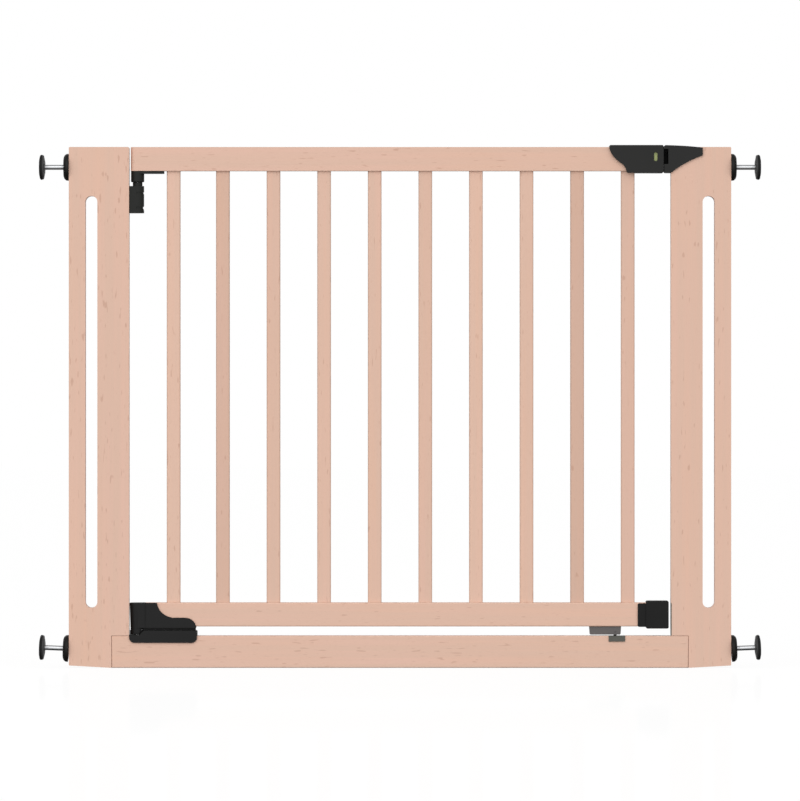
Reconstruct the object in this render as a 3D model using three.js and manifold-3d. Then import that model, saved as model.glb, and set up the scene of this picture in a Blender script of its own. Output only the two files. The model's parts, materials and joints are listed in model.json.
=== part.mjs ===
// A wooden pressure-fit safety gate: a U-shaped beech frame clamped between two walls by four
// spindles, and a slatted door that swings on a rising hinge and locks with a thumb-operated latch.
// Millimetres, +Z up, +X to the right, +Y away from the person who opens the gate.
// The origin is on the floor, midway between the posts and midway through their thickness.

import * as THREE from 'three';
import { mergeVertices } from 'three/addons/utils/BufferGeometryUtils.js';
import Module from 'manifold-3d';

const wasm = await Module();
wasm.setup();

// ---------------------------------------------------------------- driving dimensions
const GAP = 0.3; // clearance kept between neighbouring pieces
const LEFT = -1;
const RIGHT = 1;

const GATE_TOP = 815;
const POST_WIDTH = 94.2;
const POST_DEPTH = 26;
const OPENING_HALF = 424; // half the clear width between the posts
const POST_OUTER = OPENING_HALF + POST_WIDTH;
const SLOT_WIDTH = 19;
const SLOT_INSET = 49.5; // from the post's inner edge to the slot
const SLOT_LOW = 93.8;
const SLOT_HIGH = 738.5;
const FOOT_RISE = 3.7; // the feet are cut so that their outer corners clear the floor

const SILL_TOP = 50.1;
const SILL_LAP = 27.6; // how far the sill runs under each post
const SILL_END = OPENING_HALF + SILL_LAP;

const RAIL_DEPTH = 20;
const RAIL_HEIGHT = 37.3;
const TOP_RAIL_LOW = GATE_TOP - RAIL_HEIGHT;
const BOTTOM_RAIL_LOW = 64.7;
const BOTTOM_RAIL_HIGH = BOTTOM_RAIL_LOW + RAIL_HEIGHT;
const TOP_RAIL_RIGHT = 374; // inside the handle
const BOTTOM_RAIL_RIGHT = 403; // inside the end cap
const HINGE_OVERHANG = 10.5; // how far the top rail reaches past the hinge's axis
const RAIL_CORNER = 7;

const BAR_COUNT = 10;
const BAR_PITCH = 79.25;
const BAR_WIDTH = 21.4;
const BAR_DEPTH = 12;
const BAR_TENON = 10; // depth that each bar enters the rails
const FIRST_BAR_SHIFT = 2.1; // the bar next to the hinge stands this much nearer to the middle

const HINGE_X = -411;
const PIN_R = 4;
const BUSH_R = 7.6;
const CAM_RISE = 7.2; // the door climbs this much in a quarter turn
const BARREL_R = 12.5;
const SHOE_TOP = 101.8;
const SHOE_LOW = 62.5;
const SHOE_END = -319.2;
const BASE_LOW = 39.2;
const BASE_TOP = 58.4;
const BASE_END = -317.5;
const BASE_DEPTH = 31;
const TRACK_R = 19; // outer radius of the cam track in the hinge base
const CAM_INNER_R = 2; // less than the pin hole, which trims both cams
const CAM_LOW = 51.5; // lowest level of the cam track in the hinge base
const CAM_PLAY = 0.7;

const SOCKET_LOW = 711.7;
const SOCKET_TOP = 754;
const SOCKET_R = 10.2;
const BRACKET_R = 10.4;
const BRACKET_LOW = 760.2;
const BRACKET_PLATE = 3.9; // thickness of the bracket's plate under the rail
const BRACKET_RIGHT = -369.4;
const UPPER_PIN_TOP = 771;

const HANDLE_LEFT = 327.5;
const HANDLE_RIGHT = 412.4;
const HANDLE_LOW = 774.5;
const HANDLE_TOP = 818;
const HANDLE_DEPTH = 30;
const HANDLE_WALL = 2.3;
const LATCH_TRAVEL = 9.2;
const BOLT_LEFT = 386;
const BOLT_TIP = 419.3;
const BOLT_LOW = 779;
const BOLT_TOP = 807;
const NOSE_LEFT = 409; // the bolt's nose is lower in height than the rest of it
const NOSE_LOW = 789;
const BOLT_FRONT = -4.5;
const BOLT_BACK = 6.5;
const WINDOW = { left: 397.4, right: 402.9, low: 793, high: 806.8 };

const KEEPER_LEFT = 413.4;
const KEEPER_RIGHT = 473.6;
const KEEPER_DEPTH = 32;

const CAP = { left: 385, right: 420.4, low: 61.4, high: 104.8, half: 14 };
const CAP_TAB = { left: 372, low: 64, high: 101, half: 12 };

const STOP_LEFT = 296.2;
const STOP_RIGHT = 346.2;
const STOP_LOW = 51.8;
const STOP_HIGH = 64.4;
const STOP_CORNER = 2;
const STOP_SLANT = 0.9; // how much narrower the slider is at its foot, at each end
const STOP_FRONT = -7;
const STOP_BACK = 3.6;
const STOP_TRAVEL = 13.5;
const NUB_X = 337;
const STOP_PLATE = { left: 326.4, right: 352.2, low: 41.2 };

const ROD_R = 4;
const ROD_INSIDE = 30; // length of rod inside the post
const ROD_TRAVEL_IN = 26.25; // 21 turns of the thread
const COLLAR_R = 21.3;
const COLLAR_THICK = 8.4;
const PAD_R = 19.8;
const PAD_THICK = 9.3;
const PAD_FACE = 46.9; // from the post's side to the pad's outer face
const UPPER_SPINDLE_Z = 783.6;
const LOWER_SPINDLE_Z = 29.8;
const LOWER_SPINDLE_TILT = THREE.MathUtils.degToRad(2.3); // outer end up

// ---------------------------------------------------------------- materials
const finish = (color, roughness, metalness) => () =>
  new THREE.MeshStandardMaterial({ color, roughness, metalness });
const beech = finish(0xddbaa6, 0.55, 0);
const blackPlastic = finish(0x2b2b2b, 0.45, 0);
const blackRubber = finish(0x1e1e1e, 0.8, 0);
const greyPlastic = finish(0x646160, 0.5, 0);
const greyMetal = finish(0x5c5b54, 0.45, 0.6);
const darkMetal = finish(0x848278, 0.5, 0.6);
const zincSteel = finish(0xc8c9cb, 0.25, 1);
const greenPlastic = finish(0x8c9465, 0.5, 0);
const redPlastic = finish(0xb3322a, 0.5, 0);

// ---------------------------------------------------------------- geometry helpers
function manifoldOf(geometry) {
  const bare = geometry.clone();
  bare.deleteAttribute('normal');
  bare.deleteAttribute('uv');
  const merged = mergeVertices(bare, 1e-4);
  return new wasm.Manifold(new wasm.Mesh({
    numProp: 3,
    vertProperties: new Float32Array(merged.attributes.position.array),
    triVerts: new Uint32Array(merged.index.array),
  }));
}

function geometryOf(manifold) {
  const mesh = manifold.getMesh();
  const geometry = new THREE.BufferGeometry();
  geometry.setAttribute('position', new THREE.BufferAttribute(mesh.vertProperties, 3));
  geometry.setIndex(new THREE.BufferAttribute(mesh.triVerts, 1));
  geometry.computeVertexNormals();
  return geometry;
}

function cut(geometry, ...tools) {
  let result = manifoldOf(geometry);
  for (const tool of tools) result = result.subtract(manifoldOf(tool));
  return geometryOf(result);
}

function join(geometry, ...others) {
  let result = manifoldOf(geometry);
  for (const other of others) result = result.add(manifoldOf(other));
  return geometryOf(result);
}

function box(x0, x1, y0, y1, z0, z1) {
  const geometry = new THREE.BoxGeometry(x1 - x0, y1 - y0, z1 - z0);
  return geometry.translate((x0 + x1) / 2, (y0 + y1) / 2, (z0 + z1) / 2);
}

// An outline drawn in X and Z, given thickness from y0 to y1.
function extrudeY(shape, y0, y1, curveSegments = 12) {
  const options = { depth: y1 - y0, bevelEnabled: false, curveSegments };
  const geometry = new THREE.ExtrudeGeometry(shape, options);
  return geometry.rotateX(Math.PI / 2).translate(0, y1, 0);
}

// An outline drawn in X and Y, given height from z0 to z1.
function extrudeZ(shape, z0, z1, curveSegments = 12) {
  const options = { depth: z1 - z0, bevelEnabled: false, curveSegments };
  return new THREE.ExtrudeGeometry(shape, options).translate(0, 0, z0);
}

// An outline drawn in Y and Z, given length from x0 to x1.
function extrudeX(shape, x0, x1) {
  const options = { depth: x1 - x0, bevelEnabled: false };
  const geometry = new THREE.ExtrudeGeometry(shape, options);
  return geometry.rotateX(Math.PI / 2).rotateZ(Math.PI / 2).translate(x0, 0, 0);
}

// A solid turned about Z. The profile is [radius, height] pairs, from the axis round to the axis.
function turned(profile, segments = 24) {
  const points = profile.map(([r, z]) => new THREE.Vector2(r, z));
  return new THREE.LatheGeometry(points, segments).rotateX(Math.PI / 2);
}

function cylinder(radius, z0, z1, segments = 24) {
  return turned([[0, z0], [radius, z0], [radius, z1], [0, z1]], segments);
}

function tube(inner, outer, z0, z1, segments = 24) {
  return turned([[inner, z0], [outer, z0], [outer, z1], [inner, z1], [inner, z0]], segments);
}

function roundedRect(x0, x1, z0, z1, radius) {
  const shape = new THREE.Shape();
  shape.moveTo(x0 + radius, z0);
  shape.lineTo(x1 - radius, z0);
  shape.absarc(x1 - radius, z0 + radius, radius, -Math.PI / 2, 0);
  shape.lineTo(x1, z1 - radius);
  shape.absarc(x1 - radius, z1 - radius, radius, 0, Math.PI / 2);
  shape.lineTo(x0 + radius, z1);
  shape.absarc(x0 + radius, z1 - radius, radius, Math.PI / 2, Math.PI);
  shape.lineTo(x0, z0 + radius);
  shape.absarc(x0 + radius, z0 + radius, radius, Math.PI, Math.PI * 1.5);
  return shape;
}

// A countersunk screw along +Z: its head's flat top is at 0 and its point at the given length.
function screw(shankR, length) {
  const headR = shankR * 1.9;
  const headDepth = shankR * 1.1;
  const point = shankR * 1.6;
  const body = turned([
    [0, 0], [headR, 0], [shankR, headDepth], [shankR, length - point], [0, length],
  ], 12);
  const driveDepth = shankR * 0.7;
  return cut(body, cylinder(shankR * 0.7, -1, driveDepth, 6));
}

// The hole that such a screw sits in, a clearance larger all round.
function screwHole(shankR, length) {
  const headR = shankR * 1.9 + GAP;
  const headDepth = shankR * 1.1 + GAP;
  return turned([
    [0, -20], [headR, -20], [headR, 0], [shankR + GAP, headDepth], [shankR + GAP, length + GAP],
    [0, length + GAP],
  ], 12);
}

// Turns a piece made along +Z so that it points along a direction from a place.
function aimed(geometry, x, y, z, dx, dy, dz) {
  const direction = new THREE.Vector3(dx, dy, dz).normalize();
  const turn = new THREE.Quaternion().setFromUnitVectors(new THREE.Vector3(0, 0, 1), direction);
  return geometry.clone().applyQuaternion(turn).translate(x, y, z);
}

const gate = new THREE.Group();

function place(name, geometry, material, parent = gate) {
  const mesh = new THREE.Mesh(geometry, material());
  mesh.name = name;
  parent.add(mesh);
  return mesh;
}

// ---------------------------------------------------------------- fasteners, listed once
// Each has a place, the way it points, a shank radius and a length.
const SCREWS = {
  sill_screw_left: { at: [-437.4, 0, 0.8], along: [0, 0, 1], shank: 3, length: 92 },
  sill_screw_right: { at: [437.4, 0, 0.8], along: [0, 0, 1], shank: 3, length: 92 },
  socket_screw: { at: [-402.4, 0, 719.3], along: [-1, 0, 0], shank: 2, length: 42 },
  hinge_base_screw: { at: [-345, 15.3, 45], along: [0, -1, 0], shank: 1.8, length: 22 },
  bracket_screw: { at: [-382, 0, 774.2], along: [0, 0, 1], shank: 2, length: 18 },
  shoe_screw: { at: [-388, 12.3, 86], along: [0, -1, 0], shank: 1.8, length: 16 },
  handle_screw_1: { at: [340, 14.8, 806], along: [0, -1, 0], shank: 1.8, length: 27 },
  handle_screw_2: { at: [362, 14.8, 800], along: [0, -1, 0], shank: 1.8, length: 27 },
  keeper_screw: { at: [447, 15.8, 803], along: [0, -1, 0], shank: 1.8, length: 22 },
  cap_screw: { at: [379, 11.8, 82.6], along: [0, -1, 0], shank: 1.6, length: 15 },
  stop_plate_screw: { at: [347, -4, 50.3], along: [0, 0, -1], shank: 1.6, length: 16 },
};

function holeFor(name) {
  const { at, along, shank, length } = SCREWS[name];
  return aimed(screwHole(shank, length), ...at, ...along);
}

function placeScrew(name) {
  const { at, along, shank, length } = SCREWS[name];
  place(name, aimed(screw(shank, length), ...at, ...along), zincSteel);
}

// ---------------------------------------------------------------- spindles
// A spindle is made along +X from the post's side, then stood at one corner of the frame.
function spindleCorner(side, isLower) {
  const corner = new THREE.Group();
  const tilt = isLower ? LOWER_SPINDLE_TILT : 0;
  corner.position.set(side * POST_OUTER, 0, isLower ? LOWER_SPINDLE_Z : UPPER_SPINDLE_Z);
  corner.rotation.y = side === RIGHT ? -tilt : tilt - Math.PI;
  corner.updateMatrix();
  return corner;
}

const alongX = (geometry) => geometry.rotateY(Math.PI / 2);

function spindleBore(side, isLower) {
  const length = ROD_INSIDE + ROD_TRAVEL_IN + 4; // it still clears the rod wound fully in
  const bore = alongX(cylinder(ROD_R + GAP, -length, 20, 16));
  return bore.applyMatrix4(spindleCorner(side, isLower).matrix);
}

function collarGeometry(standoff) {
  const bore = ROD_R + GAP;
  const profile = [
    [bore, 0], [COLLAR_R - 1.2, 0], [COLLAR_R, 1.2], [COLLAR_R - 0.6, 4.4],
    [COLLAR_R - 3.4, COLLAR_THICK - 1.1], [COLLAR_R - 6, COLLAR_THICK], [bore, COLLAR_THICK], [bore, 0],
  ];
  return alongX(turned(profile, 28).translate(0, 0, standoff));
}

function padGeometry() {
  const inner = PAD_FACE - PAD_THICK;
  const rimLow = inner + 1.9;
  const rimHigh = PAD_FACE - 1.6;
  const bore = ROD_R + GAP;
  const profile = [
    [0, inner + 5.3], [bore, inner + 5.3], [bore, inner], [9, inner],
    [PAD_R - 0.9, rimLow], [PAD_R, rimLow + 1.2], [PAD_R, rimHigh - 1.2],
    [PAD_R - 0.9, rimHigh], [12, PAD_FACE], [0, PAD_FACE],
  ];
  return alongX(turned(profile, 28));
}

function makeSpindle(name, side, isLower) {
  const corner = spindleCorner(side, isLower);
  const lean = isLower ? COLLAR_R * Math.sin(LOWER_SPINDLE_TILT) : 0;
  const rodEnd = PAD_FACE - PAD_THICK + 5;
  place(`threaded_rod_${name}`, alongX(cylinder(ROD_R, -ROD_INSIDE, rodEnd, 20)), zincSteel, corner);
  place(`wall_pad_${name}`, padGeometry(), blackRubber, corner);
  place(`adjusting_collar_${name}`, collarGeometry(GAP + lean), blackPlastic, corner);
  gate.add(corner);
}

// ---------------------------------------------------------------- the U-shaped frame
function postOutline(side) {
  const shape = new THREE.Shape();
  shape.moveTo(side * OPENING_HALF, SILL_TOP + GAP);
  shape.lineTo(side * SILL_END, SILL_TOP + GAP);
  shape.lineTo(side * SILL_END, 0);
  shape.lineTo(side * POST_OUTER, FOOT_RISE);
  shape.lineTo(side * POST_OUTER, GATE_TOP);
  shape.lineTo(side * OPENING_HALF, GATE_TOP);
  const slotMiddle = side * (OPENING_HALF + SLOT_INSET + SLOT_WIDTH / 2);
  const slot = new THREE.Path();
  const r = SLOT_WIDTH / 2;
  slot.absarc(slotMiddle, SLOT_HIGH - r, r, 0, Math.PI);
  slot.absarc(slotMiddle, SLOT_LOW + r, r, Math.PI, Math.PI * 2);
  shape.holes.push(slot);
  return shape;
}

function post(side, ...fixings) {
  const board = extrudeY(postOutline(side), -POST_DEPTH / 2, POST_DEPTH / 2);
  const bores = [spindleBore(side, false), spindleBore(side, true)];
  return cut(board, ...bores, ...fixings);
}

const STRIKE = { low: 50.9, high: 100.8, thick: 0.8 };

function strikeRebate() {
  const right = OPENING_HALF + STRIKE.thick + GAP;
  return box(OPENING_HALF - 5, right, -20, 20, SILL_TOP, STRIKE.high + GAP);
}

function strikePlate() {
  const half = POST_DEPTH / 2;
  return box(OPENING_HALF, OPENING_HALF + STRIKE.thick, -half, half, STRIKE.low, STRIKE.high);
}

// The sill is pocketed under the hinge's cam and rebated for the stop plate.
const HINGE_POCKET = { right: -396, low: 47.4 };
const STOP_REBATE_LOW = 48.6;
const LOWER_PIN = { low: 20, high: 94.5 };

function sill() {
  const half = POST_DEPTH / 2;
  const end = SILL_END - GAP;
  const board = box(-end, end, -half, half, 0, SILL_TOP);
  const hingePocket = box(-OPENING_HALF, HINGE_POCKET.right, -20, 20, HINGE_POCKET.low, 60);
  const plate = STOP_PLATE;
  const stopRebate = box(plate.left - GAP, plate.right + GAP, -20, 8, STOP_REBATE_LOW, 60);
  const pinHole = cylinder(PIN_R + GAP, LOWER_PIN.low - GAP, 60, 20).translate(HINGE_X, 0, 0);
  const screws = ['sill_screw_left', 'sill_screw_right', 'hinge_base_screw', 'stop_plate_screw'];
  return cut(board, hingePocket, stopRebate, pinHole, ...screws.map(holeFor));
}

// ---------------------------------------------------------------- lower hinge
// Heights round the cam, in degrees clockwise from -X as seen from above. The track is lowest on
// the post's side, climbs at the back through a quarter turn, and falls steeply at the front.
const CAM_STEPS = [[0, 0], [43, 0], [133, 1], [235, 1], [256, 0], [360, 0]];

function camHeight(angle) {
  const next = CAM_STEPS.findIndex(([at]) => at > angle);
  if (next < 0) return 0;
  const [fromAngle, fromPart] = CAM_STEPS[next - 1];
  const [toAngle, toPart] = CAM_STEPS[next];
  const along = (angle - fromAngle) / (toAngle - fromAngle);
  return CAM_RISE * THREE.MathUtils.lerp(fromPart, toPart, along);
}

function camAngles() {
  const angles = [];
  for (let i = 0; i + 1 < CAM_STEPS.length; i += 1) {
    const [from, fromPart] = CAM_STEPS[i];
    const [to, toPart] = CAM_STEPS[i + 1];
    const pieces = toPart === fromPart ? Math.ceil((to - from) / 15) : 12;
    for (let k = 0; k < pieces; k += 1) angles.push(from + ((to - from) * k) / pieces);
  }
  return angles;
}

// A ring about Z with a flat top, whose underside follows the cam.
function camRing(innerR, outerRAt, low, top) {
  const angles = camAngles();
  const positions = [];
  for (const angle of angles) {
    const turn = THREE.MathUtils.degToRad(angle);
    const under = low + camHeight(angle);
    const corners = [[innerR, under], [outerRAt(under), under], [outerRAt(top), top], [innerR, top]];
    for (const [r, z] of corners) positions.push(-r * Math.cos(turn), r * Math.sin(turn), z);
  }
  const index = [];
  for (let i = 0; i < angles.length; i += 1) {
    const here = i * 4;
    const next = ((i + 1) % angles.length) * 4;
    for (let k = 0; k < 4; k += 1) {
      const k2 = (k + 1) % 4;
      index.push(here + k, here + k2, next + k2, here + k, next + k2, next + k);
    }
  }
  const geometry = new THREE.BufferGeometry();
  geometry.setAttribute('position', new THREE.BufferAttribute(new Float32Array(positions), 3));
  geometry.setIndex(index);
  return geometry;
}

const SHOE_BARREL_LOW = CAM_LOW + CAM_PLAY;
const BARREL_FOOT_R = 10.8;

// The barrel tapers from its top to its foot.
function barrelRadius(z) {
  const part = (z - SHOE_BARREL_LOW) / (SHOE_TOP - SHOE_BARREL_LOW);
  return THREE.MathUtils.lerp(BARREL_FOOT_R, BARREL_R, part);
}

function hingeBase() {
  const shape = new THREE.Shape();
  const left = -OPENING_HALF + GAP;
  const lowR = 8.5;
  const topR = 2;
  shape.moveTo(left, BASE_TOP);
  shape.lineTo(left, BASE_LOW + lowR);
  shape.absarc(left + lowR, BASE_LOW + lowR, lowR, Math.PI, Math.PI * 1.5);
  shape.lineTo(BASE_END - lowR, BASE_LOW);
  shape.absarc(BASE_END - lowR, BASE_LOW + lowR, lowR, -Math.PI / 2, 0);
  shape.lineTo(BASE_END, BASE_TOP - topR);
  shape.absarc(BASE_END - topR, BASE_TOP - topR, topR, 0, Math.PI / 2);
  const body = extrudeY(shape, -BASE_DEPTH / 2, BASE_DEPTH / 2);
  const saddle = POST_DEPTH / 2 + GAP;
  const overSill = box(HINGE_POCKET.right - GAP, BASE_END + 10, -saddle, saddle, 0, SILL_TOP + GAP);
  const underCam = box(left - 10, BASE_END + 10, -saddle, saddle, 0, HINGE_POCKET.low + GAP);
  const track = camRing(CAM_INNER_R, () => TRACK_R, CAM_LOW, BASE_TOP + 20);
  const frontCorner = box(left - 1, HINGE_X - 8, -20, -8, CAM_LOW, BASE_TOP + 5);
  const pinHole = cylinder(PIN_R + GAP, 0, 100, 20).translate(HINGE_X, 0, 0);
  const hollows = [overSill, underCam, frontCorner, track.translate(HINGE_X, 0, 0), pinHole];
  return cut(body, ...hollows, holeFor('hinge_base_screw'));
}

function hingePin() {
  return cylinder(PIN_R, LOWER_PIN.low, LOWER_PIN.high, 20).translate(HINGE_X, 0, 0);
}

// The bush turns with the shoe on the pin, and the shoe climbs along it.
const LOWER_BUSH = { low: 73.5, high: 95 };

// The shoe's two side plates: a low tongue along the rail, and a tall part beside the barrel.
function shoeOutline() {
  const tongueTop = 78.4;
  const shape = new THREE.Shape();
  shape.moveTo(HINGE_X, SHOE_LOW);
  shape.lineTo(SHOE_END, SHOE_LOW);
  shape.bezierCurveTo(SHOE_END, SHOE_LOW + 9, SHOE_END - 7.3, tongueTop, SHOE_END - 18, tongueTop);
  shape.lineTo(SHOE_END - 37, tongueTop);
  shape.bezierCurveTo(-367, tongueTop + 1.9, -378, 87, -380.5, SHOE_TOP);
  shape.lineTo(HINGE_X, SHOE_TOP);
  return shape;
}

// A rib under the shoe fills most of the space over the hinge base.
const SHOE_RIB = { left: -404, right: SHOE_END - 0.6, half: 9, low: BASE_TOP + GAP + 0.05 };

function hingeShoe() {
  const plates = extrudeY(shoeOutline(), -BARREL_R, BARREL_R);
  const { left, right, half, low } = SHOE_RIB;
  const rib = box(left, right, -half, half, low, SHOE_LOW + 1);
  const barrel = turned([
    [0, SHOE_LOW], [barrelRadius(SHOE_LOW), SHOE_LOW], [BARREL_R, SHOE_TOP], [0, SHOE_TOP],
  ], 40).translate(HINGE_X, 0, 0);
  const cam = camRing(CAM_INNER_R, barrelRadius, SHOE_BARREL_LOW, SHOE_LOW + 4);
  const railHalf = RAIL_DEPTH / 2 + GAP;
  const railLeft = HINGE_X + BARREL_R + GAP;
  const railPocket = box(railLeft, 0, -railHalf, railHalf, BOTTOM_RAIL_LOW - GAP, 200);
  const pinBore = cylinder(PIN_R + GAP, 0, LOWER_BUSH.high, 20).translate(HINGE_X, 0, 0);
  const bushLow = LOWER_BUSH.low - CAM_RISE - GAP;
  const bushBore = cylinder(BUSH_R + GAP, bushLow, LOWER_BUSH.high + GAP).translate(HINGE_X, 0, 0);
  const body = join(plates, barrel, cam.translate(HINGE_X, 0, 0), rib);
  return cut(body, railPocket, pinBore, bushBore, holeFor('shoe_screw'));
}

function lowerBush() {
  const { low, high } = LOWER_BUSH;
  return tube(PIN_R + GAP, BUSH_R, low, high).translate(HINGE_X, 0, 0);
}

// ---------------------------------------------------------------- upper hinge
const UPPER_BUSH = { low: 727, high: BRACKET_LOW - GAP };
const SOCKET_GROOVES = [720, 743]; // heights of the two grooves round the socket's front

function hingeSocket() {
  const shape = new THREE.Shape();
  const back = -OPENING_HALF + GAP;
  shape.moveTo(back, -SOCKET_R);
  shape.lineTo(HINGE_X, -SOCKET_R);
  shape.absarc(HINGE_X, 0, SOCKET_R, -Math.PI / 2, Math.PI / 2);
  shape.lineTo(back, SOCKET_R);
  const body = extrudeZ(shape, SOCKET_LOW, SOCKET_TOP);
  const bore = cylinder(BUSH_R + GAP, UPPER_BUSH.low - GAP, SOCKET_TOP + 5);
  const grooveR = SOCKET_R - 0.8;
  const halfGroove = 1.5;
  const grooves = SOCKET_GROOVES.map((z) => {
    const groove = tube(grooveR, SOCKET_R + 3, z - halfGroove, z + halfGroove, 36);
    return cut(groove, box(-20, -2, -20, 20, z - 5, z + 5)).translate(HINGE_X, 0, 0);
  });
  return cut(body, bore.translate(HINGE_X, 0, 0), ...grooves, holeFor('socket_screw'));
}

function upperBush() {
  const { low, high } = UPPER_BUSH;
  return tube(PIN_R + GAP, BUSH_R, low, high).translate(HINGE_X, 0, 0);
}

function hingeBracket() {
  const shape = new THREE.Shape();
  shape.moveTo(HINGE_X, -BRACKET_R);
  shape.lineTo(BRACKET_RIGHT, -BRACKET_R);
  shape.lineTo(BRACKET_RIGHT, BRACKET_R);
  shape.lineTo(HINGE_X, BRACKET_R);
  shape.absarc(HINGE_X, 0, BRACKET_R, Math.PI / 2, Math.PI * 1.5);
  const plateTop = TOP_RAIL_LOW - GAP;
  const plateLow = plateTop - BRACKET_PLATE;
  const plate = extrudeZ(shape, plateLow, plateTop);
  const barrel = cylinder(BRACKET_R, BRACKET_LOW, plateLow + 1, 32).translate(HINGE_X, 0, 0);
  const bore = cylinder(PIN_R + GAP, BRACKET_LOW - 5, UPPER_PIN_TOP + GAP, 20);
  return cut(join(plate, barrel), bore.translate(HINGE_X, 0, 0), holeFor('bracket_screw'));
}

function upperPin() {
  return cylinder(PIN_R, UPPER_BUSH.low + 5, UPPER_PIN_TOP, 20).translate(HINGE_X, 0, 0);
}

// ---------------------------------------------------------------- the door
function barX(i) {
  const x = (i - (BAR_COUNT - 1) / 2) * BAR_PITCH;
  return i === 0 ? x + FIRST_BAR_SHIFT : x;
}

const BAR_LOW = BOTTOM_RAIL_HIGH - BAR_TENON;
const BAR_HIGH = TOP_RAIL_LOW + BAR_TENON;

function bar() {
  const halfWidth = BAR_WIDTH / 2;
  const halfDepth = BAR_DEPTH / 2;
  const section = roundedRect(-halfWidth, halfWidth, -halfDepth, halfDepth, 1.5);
  return extrudeZ(section, BAR_LOW, BAR_HIGH, 3);
}

function mortises(z0, z1) {
  const halfWidth = BAR_WIDTH / 2 + GAP;
  const halfDepth = BAR_DEPTH / 2 + GAP;
  const pockets = [];
  for (let i = 0; i < BAR_COUNT; i += 1) {
    const x = barX(i);
    pockets.push(box(x - halfWidth, x + halfWidth, -halfDepth, halfDepth, z0, z1));
  }
  return pockets;
}

// The hinge end is rounded so that it clears the post as the door turns.
function topRail() {
  const half = RAIL_DEPTH / 2;
  const left = HINGE_X - HINGE_OVERHANG;
  const shape = new THREE.Shape();
  shape.moveTo(left + RAIL_CORNER, -half);
  shape.lineTo(TOP_RAIL_RIGHT, -half);
  shape.lineTo(TOP_RAIL_RIGHT, half);
  shape.lineTo(left + RAIL_CORNER, half);
  shape.absarc(left + RAIL_CORNER, half - RAIL_CORNER, RAIL_CORNER, Math.PI / 2, Math.PI);
  shape.lineTo(left, RAIL_CORNER - half);
  shape.absarc(left + RAIL_CORNER, RAIL_CORNER - half, RAIL_CORNER, Math.PI, Math.PI * 1.5);
  const board = extrudeZ(shape, TOP_RAIL_LOW, GATE_TOP, 6);
  const fixings = ['bracket_screw', 'handle_screw_1', 'handle_screw_2'].map(holeFor);
  return cut(board, ...mortises(TOP_RAIL_LOW - 5, BAR_HIGH + GAP), ...fixings);
}

const STOP_NECK = 6; // width of the stop slider's neck, which runs in a T-shaped slot
const STOP_HEAD = 11.4;
const STOP_HEAD_LOW = 68.3;
const STOP_HEAD_HIGH = 72.5;

function teeSection(grow, low, high) {
  const neck = STOP_NECK / 2 + grow;
  const head = STOP_HEAD / 2 + grow;
  const step = STOP_HEAD_LOW - grow;
  const shape = new THREE.Shape();
  shape.moveTo(-neck, low);
  shape.lineTo(neck, low);
  shape.lineTo(neck, step);
  shape.lineTo(head, step);
  shape.lineTo(head, high);
  shape.lineTo(-head, high);
  shape.lineTo(-head, step);
  shape.lineTo(-neck, step);
  return shape;
}

function bottomRail() {
  const half = RAIL_DEPTH / 2;
  const left = HINGE_X + BARREL_R + 2 * GAP;
  const board = box(left, BOTTOM_RAIL_RIGHT, -half, half, BOTTOM_RAIL_LOW, BOTTOM_RAIL_HIGH);
  const slot = teeSection(GAP, BOTTOM_RAIL_LOW - 5, STOP_HEAD_HIGH + GAP);
  const slotLeft = STOP_LEFT + 1 - STOP_TRAVEL - GAP;
  const slide = extrudeX(slot, slotLeft, STOP_RIGHT - 1 + GAP);
  const fixings = ['shoe_screw', 'cap_screw'].map(holeFor);
  return cut(board, ...mortises(BAR_LOW - GAP, BOTTOM_RAIL_HIGH + 5), slide, ...fixings);
}

function railEndCap() {
  const corner = 2.5;
  const wideOutline = roundedRect(CAP.left, CAP.right, CAP.low, CAP.high, corner);
  const wide = extrudeY(wideOutline, -CAP.half, CAP.half, 5);
  const tabOutline = roundedRect(CAP_TAB.left, CAP.left + 5, CAP_TAB.low, CAP_TAB.high, corner);
  const tab = extrudeY(tabOutline, -CAP_TAB.half, CAP_TAB.half, 5);
  const half = RAIL_DEPTH / 2 + GAP;
  const low = BOTTOM_RAIL_LOW - GAP;
  const high = BOTTOM_RAIL_HIGH + GAP;
  const inWide = box(CAP.left - 1, BOTTOM_RAIL_RIGHT + GAP, -half, half, low, high);
  const inTab = box(CAP_TAB.left - 1, CAP.left, -half, half, CAP_TAB.low - 5, CAP_TAB.high + 5);
  return cut(join(wide, tab), inWide, inTab, holeFor('cap_screw'));
}

// ---------------------------------------------------------------- handle and latch
function handleOutline() {
  const shape = new THREE.Shape();
  const corner = 2.2;
  shape.moveTo(HANDLE_LEFT + 1.5, HANDLE_TOP);
  shape.quadraticCurveTo(HANDLE_LEFT, HANDLE_TOP, HANDLE_LEFT, HANDLE_TOP - 2.4);
  shape.bezierCurveTo(328.2, 804.5, 337.5, 795, 346.6, 789.2);
  shape.bezierCurveTo(350.8, 786.6, 353, 783.2, 353.8, 779);
  shape.quadraticCurveTo(354.6, HANDLE_LOW, 358, HANDLE_LOW);
  shape.lineTo(HANDLE_RIGHT - corner, HANDLE_LOW);
  shape.quadraticCurveTo(HANDLE_RIGHT, HANDLE_LOW, HANDLE_RIGHT, HANDLE_LOW + corner);
  shape.lineTo(HANDLE_RIGHT, HANDLE_TOP - corner);
  shape.quadraticCurveTo(HANDLE_RIGHT, HANDLE_TOP, HANDLE_RIGHT - corner, HANDLE_TOP);
  return shape;
}

const SLIDER = { left: 352, right: 392, top: 817.7, width: 16 };

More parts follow.
